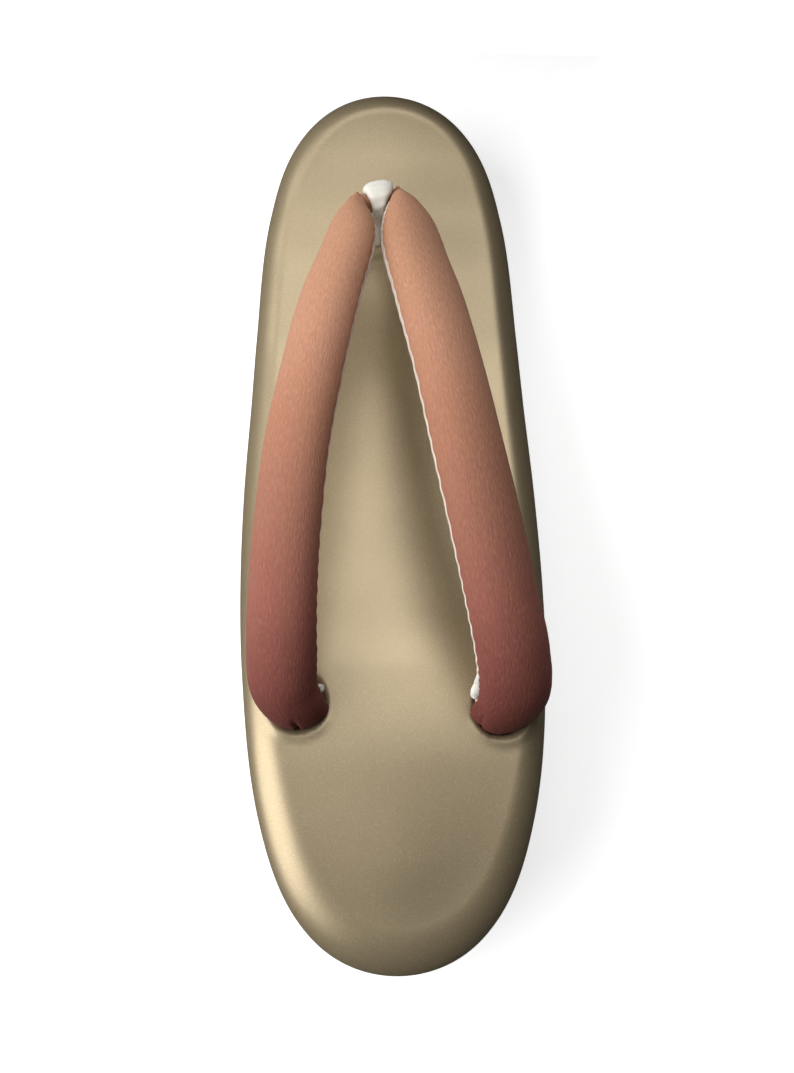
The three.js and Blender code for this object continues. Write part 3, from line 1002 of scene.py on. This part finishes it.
@dataclass
class Pillow:
    """How the stuffing is blown up and held back."""

    pressure: float = 4
    mass: float = 0.15
    stretch: float = 12
    shear: float = 4
    bend: float = 0.4
    draw: float = 0.1
    frames: int = 20
    cap: float = 1.1 * MM

    def blow(self, grid: Array, seams: Array, held: Array) -> Array:
        """Fills a closed tube with air as cloth, with its seams drawn tight.

        Args:
            grid: the tube's points, along and around.
            seams: for each point, how strongly a seam shortens the cloth there, 0 to 1.
            held: for each point, how firmly it is held in place, 0 to 1.

        Returns:
            The points of the filled tube.
        """
        piece = mesh_object("stuffing", grid, caps=True)
        count = grid.shape[0] * grid.shape[1]
        pinned = piece.vertex_groups.new(name="held")
        drawn = piece.vertex_groups.new(name="seam")
        for index, (h, s) in enumerate(zip(held.ravel(), seams.ravel())):
            pinned.add([index], float(h), "REPLACE")
            drawn.add([index], float(s), "REPLACE")
        for index in (count, count + 1):
            pinned.add([index], 1.0, "REPLACE")
        modifier = piece.modifiers.new("filling", "CLOTH")
        cloth = modifier.settings
        cloth.quality = 6
        cloth.mass = self.mass
        cloth.tension_stiffness = self.stretch
        cloth.compression_stiffness = self.stretch
        cloth.shear_stiffness = self.shear
        cloth.bending_stiffness = self.bend
        cloth.use_pressure = True
        cloth.uniform_pressure_force = self.pressure
        cloth.vertex_group_mass = "held"
        cloth.pin_stiffness = 1.0
        cloth.vertex_group_shrink = "seam"
        cloth.shrink_min = 0.0
        cloth.shrink_max = self.draw
        cloth.effector_weights.gravity = 0
        modifier.collision_settings.use_collision = False
        scene = bpy.context.scene
        modifier.point_cache.frame_start = 1
        modifier.point_cache.frame_end = self.frames
        for frame in range(1, self.frames + 1):
            scene.frame_set(frame)
        result = piece.evaluated_get(bpy.context.evaluated_depsgraph_get()).data
        co = np.zeros(len(result.vertices) * 3, np.float32)
        result.vertices.foreach_get("co", co)
        blown = co.reshape(-1, 3)[:count].reshape(grid.shape).astype(float)
        bpy.data.objects.remove(piece)
        scene.frame_set(1)
        move = blown - grid
        far = np.linalg.norm(move, axis=-1, keepdims=True)
        return grid + move * np.minimum(1, self.cap / np.maximum(far, 1e-9))


@dataclass
class Strap:
    """One padded strap: its course, its section and its lining. Millimetres.

    Places around the strap are in degrees, from its outer edge over its crown. Places along it are
    shares of its length. The side is 1 on the big toe's side and -1 on the other.
    """

    name: str
    side: int
    hole: Hole
    neck: Hole
    rows: Sequence[Row]
    lining_from: float
    lining_to: float
    slit_at: float
    slit_depth: float
    puff: float
    tuft_from: float
    tuft_to: float
    tuft_size: float
    seam_pull: float = 0.45
    seam_pucker: float = 0.13
    gathers: Sequence[tuple[float, float, float]] = ((0.08, 7, 40), (0.06, 11, 20))
    tip_crease: float = 0.14
    width: float = 19.5
    crown: float = 7.6
    belly: float = 4.8
    rise: float = 37
    slack: float = 0.955
    lining_start: float = 0.06
    lining_end: float = 0.91
    lining_sides: int = 23
    tuft_sides: int = 24
    steps: int = 132
    sides: int = 40
    detail: int = 3

    def _sections(self, shape: SoleShape) -> dict[str, Array]:
        """Centres, directions and half sizes of the strap's sections."""
        table = {name: [getattr(row, name) for row in self.rows] for name in Row._fields}
        run = self.hole.y - self.neck.y
        reach = self.hole.x - self.neck.x
        y = self.neck.y + run * np.array(table["along"])
        x = self.neck.x + reach * np.array(table["spread"])
        z = shape.top(y) + self.rise * np.array(table["rise"])
        centre, ahead = course_through(np.stack([x, y, z], -1), self.steps)
        t = np.linspace(0, len(self.rows) - 1, self.steps)
        width, depth, tilt = (
            Column(list(enumerate(table[name])))(t) for name in ("width", "depth", "tilt")
        )
        outward = unit(np.array([run, -reach, 0.0])) * self.side
        level = unit(outward - ahead * (ahead @ outward)[:, None])
        over = np.cross(level, ahead) * self.side
        angle = np.radians(tilt)[:, None]
        return {
            "centre": centre,
            "side": level * np.cos(angle) - over * np.sin(angle),
            "up": over * np.cos(angle) + level * np.sin(angle),
            "width": self.width / 2 * width,
            "depth": depth,
        }

    def tube(self, shape: SoleShape) -> Array:
        """The strap's skin before it is filled, along and around."""
        s = self._sections(shape)
        phi = np.arange(self.sides) / self.sides * TAU
        half = np.where(np.sin(phi) > 0, self.crown, self.belly)
        across = s["width"][:, None] * np.cos(phi) * self.slack
        tall = s["depth"][:, None] * (half * np.sin(phi)) * self.slack
        return (
            s["centre"][:, None]
            + s["side"][:, None] * across[..., None]
            + s["up"][:, None] * tall[..., None]
        )

    def _seams(self) -> Array:
        """How strongly the two seams beside the lining draw the cloth."""
        phi = np.arange(self.sides) / self.sides * 360
        return sum(bump_at(angle, 14, phi) for angle in (self.lining_from, self.lining_to))

    def skin(self, shape: SoleShape) -> Array:
        """The filled strap, in metres, before its folds."""
        grid = self.tube(shape)
        along = np.linspace(0, 1, self.steps)[:, None]
        seams = np.ones((self.steps, 1)) * self._seams()[None, :]
        held = np.clip(1 - smoothstep(0.0, 0.06, along) + smoothstep(0.955, 0.985, along), 0, 1)
        held = held * np.ones((1, self.sides))
        return Pillow().blow(grid * MM, seams, held)

    def folds(self, grid: Array) -> Array:
        """Adds the gathers and the slit at the rear hole, the tip's creases and the seams' pull.

        Args:
            grid: the filled strap's points, along and around, in metres.

        Returns:
            The same points with their folds.
        """
        normals = grid_normals(grid) * self.side * -1
        rows, columns = grid.shape[:2]
        t = np.linspace(0, 1, rows)[:, None]
        phi = (np.arange(columns) / columns * 360)[None, :]
        seams = (self.lining_from, self.lining_to)
        gather = smoothstep(0.9, 0.97, t) * sum(
            height * np.sin(np.radians(phi * count + start))
            for height, count, start in self.gathers
        )
        slit = self.slit_depth * bump_at(self.slit_at, 7, phi) * smoothstep(0.885, 0.915, t)
        puff = self.puff * bump_at(188, 42, phi) * bump_at(0.942, 0.03, t)
        tip = (1 - smoothstep(0.02, 0.16, t)) * self.tip_crease * np.sin(np.radians(phi * 6 + 30))
        near = sum(bump_at(angle, 9, phi) for angle in seams)
        pull = self.seam_pull * near * smoothstep(0.03, 0.12, t)
        beside = sum(bump_at(angle, 26, phi) for angle in seams)
        pucker = self.seam_pucker * np.sin(t * 330 + 1.3 * np.sin(t * 47)) * beside
        lift = gather - slit + puff + tip - pull + pucker
        return grid + normals * (lift * MM)[..., None]

    def build(
        self, shape: SoleShape, crepe: bpy.types.Material, under: bpy.types.Material,
        velvet: bpy.types.Material, thread: bpy.types.Material,
    ) -> list[bpy.types.Object]:
        """Makes the strap, its lining and the stitches along it.

        Args:
            shape: the sole that it stands on.
            crepe: the outer cloth.
            under: the lining's cloth.
            velvet: the cloth of the lining's bunched end.
            thread: the sewing thread.

        Returns:
            The finished pieces.
        """
        coarse = self.skin(shape)
        fine = finer(finer(coarse, self.detail, 0, False), self.detail, 1, True)
        fine = self.folds(fine)
        rows, columns = fine.shape[:2]
        steps = np.linalg.norm(np.diff(fine.mean(1), axis=0), axis=1)
        along = np.concatenate([[0], np.cumsum(steps)])
        girth = math.pi * (self.width / 2 + (self.crown + self.belly) / 2) * MM
        around = np.linspace(0, girth, columns + 1)
        uv = np.stack(np.meshgrid(along, around, indexing="ij"), -1)
        piece = mesh_object(f"strap_{self.name}_crepe", fine, uv=uv, flip=self.side < 0)
        adopt(piece, crepe, ["straps"])
        lining, seam, tuft = self._lining(fine)
        adopt(lining, under)
        adopt(tuft, velvet)
        row = Stitches(
            f"strap_{self.name}_stitches", spacing=2.3 * MM, length=1.3 * MM, width=0.34 * MM
        )
        stitches = row.lay(seam, thread)
        return [piece, lining, tuft, adopt(stitches, thread)]

    def _lining(
        self, fine: Array
    ) -> tuple[bpy.types.Object, list[tuple[Array, Array, bool]], bpy.types.Object]:
        """The velvet strip under the strap, the lines that it is sewn along, and its end pad."""
        normals = grid_normals(fine) * self.side * -1
        rows, columns = fine.shape[:2]
        first, last = int(rows * self.lining_start), int(rows * self.lining_end)
        t = np.linspace(0, 1, rows)[first:last]
        wave = 0.4 * np.sin(t * 410) + 0.7 * np.sin(t * 167 + 1.0)
        hidden = 32 * (1 - smoothstep(0.08, 0.2, t))
        low = self.lining_from + wave + hidden
        high = self.lining_to - wave
        across = np.linspace(0, 1, self.lining_sides)
        angles = low[:, None] + (high - low)[:, None] * across[None, :]
        k = angles / 360 * columns
        k0 = np.floor(k).astype(int)
        f = (k - k0)[..., None]
        index = np.arange(first, last)[:, None]
        at = fine[index, k0 % columns] * (1 - f) + fine[index, (k0 + 1) % columns] * f
        out = unit(normals[index, k0 % columns] * (1 - f) + normals[index, (k0 + 1) % columns] * f)
        swell = np.clip(np.sin(across * math.pi), 0, 1) ** 0.35
        ends = smoothstep(0, 0.02, t - t[0]) * smoothstep(0, 0.012, t[-1] - t)
        lift = (0.1 + 0.42 * swell[None, :] * ends[:, None]) * MM
        outer = at + out * lift[..., None]
        inner = at[:, ::-1] - out[:, ::-1] * 0.45 * MM
        ring = np.concatenate([outer, inner], axis=1)
        band = mesh_object(f"strap_{self.name}_lining", ring, flip=self.side < 0)
        seams = []
        for column in (0, len(across) - 1):
            line = (at[:, column] + out[:, column] * 0.12 * MM)[t < self.tuft_from]
            seams.append((line, out[: len(line), column], False))
        return band, seams, self._tuft(t, at[:, 1], out[:, 1])

    def _tuft(self, t: Array, line: Array, out: Array) -> bpy.types.Object:
        """The lining's end, bunched into a small pad beside the rear hole.

        Args:
            t: the shares of the strap's length.
            line: the lining's edge at those shares.
            out: the strap's outward directions there.

        Returns:
            The pad.
        """
        part = (t >= self.tuft_from) & (t <= self.tuft_to)
        reach = 12
        blur = np.ones(2 * reach + 1) / (2 * reach + 1)
        line, out = (
            np.stack(
                [np.convolve(np.pad(a[:, k], reach, "edge"), blur, "valid") for k in range(3)], -1
            )[part]
            for a in (line, out)
        )
        u = np.linspace(0, 1, len(line))
        radius = self.tuft_size * np.sin(math.pi * (0.02 + 0.96 * u) ** 1.5) ** 0.8 * MM
        ahead = unit(np.gradient(line, axis=0))
        aside = np.cross(ahead, out)
        phi = np.arange(self.tuft_sides) / self.tuft_sides * TAU
        crease = 1 + 0.06 * np.sin(3 * phi[None, :] + 5 * u[:, None])
        spokes = out[:, None] * np.cos(phi)[:, None] + aside[:, None] * np.sin(phi)[:, None]
        middle = line + out * (radius * 0.4)[:, None]
        grid = middle[:, None] + spokes * (radius[:, None] * crease)[..., None]
        return mesh_object(f"strap_{self.name}_tuft", grid, caps=True)


@dataclass
class ToeLoop:
    """The velvet band that holds the straps down between the toes. Millimetres."""

    hole: Hole
    width: float = 8.2
    valley_width: float = 2.8
    thickness: float = 3.2
    tuck: float = 12
    rise: float = 16
    neck_height: float = 5.6
    neck_length: float = 5
    neck_span: float = 8
    neck_girth: float = 17
    taper: float = 1.4
    squareness: float = 0.55
    flatness: float = 0.8
    corner_sweep: float = 0.7
    corner_lean: float = 0.8
    crease: float = 0.12
    twist: float = 0.12
    gap: float = 0.3
    steps: int = 120
    sides: int = 40
    neck_sides: int = 24

    def build(
        self, shape: SoleShape, velvet: bpy.types.Material, crepe: bpy.types.Material
    ) -> list[bpy.types.Object]:
        """Makes the band and the neck that it passes over.

        Args:
            shape: the sole that the band goes into.
            velvet: the band's cloth.
            crepe: the straps' cloth.

        Returns:
            The finished pieces.
        """
        top = float(shape.top(self.hole.y))
        neck = np.array([self.hole.x, self.hole.y, top + self.rise])
        half = self.thickness / 2
        reach_y = self.neck_length / 2 + self.gap + half
        reach_z = self.neck_height / 2 + self.gap + half
        foot = top - self.tuck - neck[2]
        leg = half + 0.15
        rear = [(0.0, leg, foot), (0.0, leg, -reach_z - self.thickness * 1.6),
                (0.0, leg, -reach_z - self.thickness)]
        for angle in np.radians(np.linspace(-52, 90, 9)):
            rear.append((0.0, reach_y * math.cos(angle), reach_z * math.sin(angle)))
        front = [(x, -y, z) for x, y, z in reversed(rear[:-1])]
        path, ahead = course_through(np.array(rear + front), self.steps)
        squeeze = smoothstep(-1, 1, path[:, 1] / reach_y)
        width = self.width + (self.valley_width - self.width) * squeeze**self.taper
        phi = np.arange(self.sides) / self.sides * TAU
        c, s = np.cos(phi), np.sin(phi)
        along = np.sign(c) * np.abs(c) ** self.squareness * width[:, None] / 2
        across = np.sign(s) * np.abs(s) ** self.flatness * half
        over = np.cross(np.array([1.0, 0, 0]), ahead)
        grid = (
            (neck + path)[:, None]
            + np.array([1.0, 0, 0]) * along[..., None]
            + over[:, None] * (across * np.ones_like(along))[..., None]
        )
        u = along / (self.width / 2)
        ahead_of_neck = smoothstep(0, 1, -path[:, 1:2] / reach_y)
        grid[..., 1] += (self.corner_sweep * u**2 + self.corner_lean * u) * ahead_of_neck
        t = np.linspace(0, 1, self.steps)[:, None]
        crease = self.crease * np.sin(t * 90 + 2 * np.cos(phi)[None, :]) * bump_at(0.5, 0.3, t)
        grid = grid + over[:, None] * crease[..., None]
        girth = 2 * (self.width + self.thickness) * MM
        steps = np.linalg.norm(np.diff(path, axis=0), axis=1)
        length = np.concatenate([[0], np.cumsum(steps)]) * MM
        uv = np.stack(np.meshgrid(length, np.linspace(0, girth, self.sides + 1), indexing="ij"), -1)
        band = mesh_object("toe_loop_velvet", grid * MM, uv=uv)
        merge_close(band, 1e-7)
        adopt(band, velvet, ["toe_loop"])
        return [band, self._neck(neck, crepe)]

    def _neck(self, neck: Array, crepe: bpy.types.Material) -> bpy.types.Object:
        """The short cord that joins the two straps inside the band."""
        x = np.linspace(-self.neck_span / 2, self.neck_span / 2, self.neck_sides)
        phi = np.arange(self.neck_sides) / self.neck_sides * TAU
        twist = self.twist * np.sin(x[:, None] * 2.4 + phi[None, :] * 2)
        y = (self.neck_length / 2 + twist) * np.cos(phi)
        z = (self.neck_height / 2 + twist) * np.sin(phi)
        grid = neck + np.stack([x[:, None] * np.ones_like(y), y, z], -1)
        around = np.linspace(0, self.neck_girth, len(phi) + 1)
        uv = np.stack(np.meshgrid(x * MM, around * MM, indexing="ij"), -1)
        cord = mesh_object("strap_neck_crepe", grid * MM, uv=uv)
        merge_close(cord, 1e-7)
        return adopt(cord, crepe, ["straps"])


# Studio


class Light(NamedTuple):
    """One soft round light. Metres and watts."""

    name: str
    place: tuple[float, float, float]
    size: float
    power: float


@dataclass
class Studio:
    """The pale floor, the soft lights and the camera."""

    camera_place: tuple[float, float, float] = (0.0185, 0.0817, 0.36)
    camera_aim: tuple[float, float, float] = (-0.00111, 0.01183, 0.033)
    camera_roll: float = -0.655
    lens: float = 58.35
    flag: tuple[float, float, float] = (0.07, -0.15, 0.097)
    light_aim: tuple[float, float, float] = (0, 0, 0.03)
    floor_reach: float = 3.0
    floor_glow: float = 0.65
    surround: float = 0.03
    lights: Sequence[Light] = (
        Light("window", (0.78, 0.1, 0.58), size=1.1, power=12.9),
        Light("lamp", (0.06, -0.27, 0.4), size=0.34, power=0.16),
        Light("spot", (-0.1, -0.6, 0.8), size=0.5, power=1.75),
        Light("ceiling", (0.2, -0.66, 1.05), size=1.8, power=6.7),
    )

    def build(self) -> None:
        """Places the floor, the lights, the world and the camera."""
        bpy.context.scene.view_settings.view_transform = "Standard"
        self._floor()
        self._world()
        for light in self.lights:
            self._area(light)
        self._flag()
        self._camera()

    def _flag(self) -> None:
        """A dark upright card before the toe that the camera doesn't see; it keeps the rim dark.

        Its three sizes are half its width, its place along y and its height.
        """
        mesh = bpy.data.meshes.new("flag")
        half, y, height = self.flag
        mesh.from_pydata(
            [(-half, y, 0), (half, y, 0), (half, y, height), (-half, y, height)], [], [(0, 1, 2, 3)]
        )
        mesh.materials.append(Surface("flag").finish({"Base Color": (0.03, 0.03, 0.03, 1)}))
        card = bpy.data.objects.new("flag", mesh)
        bpy.context.scene.collection.objects.link(card)
        card.visible_camera = False

    def _floor(self) -> None:
        """A plain pale floor, lifted to near white for the camera alone."""
        mesh = bpy.data.meshes.new("floor")
        r = self.floor_reach
        mesh.from_pydata([(-r, -r, 0), (r, -r, 0), (r, r, 0), (-r, r, 0)], [], [(0, 1, 2, 3)])
        floor = bpy.data.objects.new("floor", mesh)
        bpy.context.scene.collection.objects.link(floor)
        s = Surface("pale_floor")
        seen = s.node("ShaderNodeLightPath", {}, {}, "Is Camera Ray")
        finish = {
            "Base Color": (0.72, 0.72, 0.72, 1),
            "Roughness": 0.9,
            "Emission Color": (1, 1, 1, 1),
            "Emission Strength": seen * self.floor_glow,
        }
        mesh.materials.append(s.finish(finish))
        floor.visible_glossy = False

    def _world(self) -> None:
        """An even, dim surrounding."""
        world = bpy.data.worlds.new("studio")
        world.use_nodes = True
        bpy.context.scene.world = world
        background = world.node_tree.nodes["Background"]
        background.inputs["Color"].default_value = (1, 1, 1, 1)
        background.inputs["Strength"].default_value = self.surround

    def _area(self, light: Light) -> None:
        """Sets up one light, facing the sandal."""
        data = bpy.data.lights.new(light.name, "AREA")
        data.shape = "DISK"
        data.size = light.size
        data.energy = light.power
        lamp = bpy.data.objects.new(light.name, data)
        bpy.context.scene.collection.objects.link(lamp)
        lamp.location = light.place
        aim = Vector(self.light_aim) - Vector(light.place)
        lamp.rotation_euler = aim.to_track_quat("-Z", "Y").to_euler()

    def _camera(self) -> None:
        """The camera, looking down on the sandal with the toe at the top of the picture."""
        data = bpy.data.cameras.new("camera")
        data.sensor_fit = "HORIZONTAL"
        data.sensor_width = 36
        data.lens = self.lens
        data.clip_start = 0.01
        camera = bpy.data.objects.new("camera", data)
        bpy.context.scene.collection.objects.link(camera)
        place = Vector(self.camera_place)
        forward = (Vector(self.camera_aim) - place).normalized()
        right = forward.cross(Vector((0, -1, 0))).normalized()
        up = right.cross(forward)
        turn = math.radians(self.camera_roll)
        side = right * math.cos(turn) + up * math.sin(turn)
        upward = up * math.cos(turn) - right * math.sin(turn)
        basis = Matrix((side, upward, -forward)).transposed().to_4x4()
        camera.matrix_world = Matrix.Translation(place) @ basis
        bpy.context.scene.camera = camera


@dataclass
class Sandal:
    """The whole sandal, built from the floor up."""

    shape: SoleShape = field(default_factory=SoleShape)
    front_hole: Hole = field(
        default_factory=lambda: Hole(
            3.4, -79.2, seat_radius=9, seat_depth=1.6, throat=4.6, throat_depth=4
        )
    )
    inner_hole: Hole = field(
        default_factory=lambda: Hole(
            25.2, 55.2, seat_radius=7.5, seat_depth=2, throat=6, seat_shift=(-0.9, 0.0)
        )
    )
    outer_hole: Hole = field(
        default_factory=lambda: Hole(
            -25.2, 58, seat_radius=7.6, seat_depth=2, throat=6, seat_shift=(-0.7, -1.2)
        )
    )

    INNER_ROWS = (
        Row(-0.016, 0.23, 0.42, 0.08, 0.14, 62),
        Row(0.003, 0.265, 0.48, 0.32, 0.38, 61),
        Row(0.035, 0.31, 0.56, 0.57, 0.62, 59),
        Row(0.076, 0.345, 0.64, 0.83, 0.83, 55),
        Row(0.14, 0.39, 0.77, 0.99, 0.97, 50),
        Row(0.25, 0.59, 0.91, 1.03, 1.0, 45),
        Row(0.4, 0.795, 0.99, 1.0, 1.0, 41),
        Row(0.55, 0.967, 0.98, 1.0, 1.0, 39),
        Row(0.7, 1.07, 0.84, 1.0, 1.0, 35),
        Row(0.82, 1.122, 0.64, 1.0, 1.0, 29),
        Row(0.91, 1.135, 0.43, 1.0, 1.0, 21),
        Row(0.98, 1.118, 0.22, 0.96, 1.0, 10),
        Row(1.01, 0.99, 0.05, 0.87, 0.94, 0),
        Row(1.0, 1.0, -0.1, 0.6, 0.8, 0),
    )
    OUTER_ROWS = (
        Row(-0.028, 0.165, 0.42, 0.08, 0.15, 56),
        Row(-0.01, 0.205, 0.47, 0.37, 0.42, 53),
        Row(0.023, 0.255, 0.55, 0.66, 0.66, 48),
        Row(0.069, 0.29, 0.64, 0.93, 0.87, 41),
        Row(0.14, 0.312, 0.77, 1.05, 0.98, 33),
        Row(0.25, 0.43, 0.91, 1.05, 1.0, 26),
        Row(0.4, 0.577, 0.99, 1.0, 1.0, 20),
        Row(0.55, 0.711, 0.98, 1.0, 1.0, 17),
        Row(0.7, 0.86, 0.84, 1.0, 1.0, 14),
        Row(0.82, 0.982, 0.64, 1.0, 1.0, 12),
        Row(0.91, 1.08, 0.43, 1.02, 1.0, 10),
        Row(0.97, 1.11, 0.22, 1.02, 1.03, 5),
        Row(0.998, 1.03, 0.05, 0.9, 0.94, 0),
        Row(1.0, 1.0, -0.1, 0.6, 0.8, 0),
    )

    def build(self) -> None:
        """Makes every piece of the sandal."""
        leather = PearlLeather().build()
        crepe = Crepe().build()
        velvet = Velvet().build()
        lining = Velvet("lining_velvet", "dccdc0", "c4b3a5").build()
        thread = Thread().build()
        sole_thread = Thread("sole_thread", "b9a37a").build()
        Outsole(self.shape).build(SoleRubber().build(), sole_thread)
        Platform(self.shape).build(leather)
        holes = [self.front_hole, self.inner_hole, self.outer_hole]
        Footbed(self.shape, holes).build(leather)
        inner = Strap(
            "inner",
            1,
            self.inner_hole,
            self.front_hole,
            self.INNER_ROWS,
            lining_from=204,
            lining_to=338,
            slit_at=104,
            slit_depth=0.9,
            puff=1.5,
            tuft_from=0.865,
            tuft_to=0.925,
            tuft_size=1.2,
        )
        outer = Strap(
            "outer",
            -1,
            self.outer_hole,
            self.front_hole,
            self.OUTER_ROWS,
            lining_from=190,
            lining_to=338,
            slit_at=150,
            slit_depth=0.3,
            puff=0.9,
            tuft_from=0.785,
            tuft_to=0.905,
            tuft_size=1.8,
            gathers=((0.08, 7, -40), (0.06, 11, 20)),
        )
        for strap in (inner, outer):
            strap.build(self.shape, crepe, lining, velvet, thread)
        ToeLoop(self.front_hole).build(self.shape, velvet, crepe)


def main() -> None:
    """Builds the sandal and the studio."""
    logging.basicConfig(level=logging.INFO, format="%(name)s: %(message)s")
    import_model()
    Sandal().build()
    Studio().build()


if __name__ == "__main__":
    main()
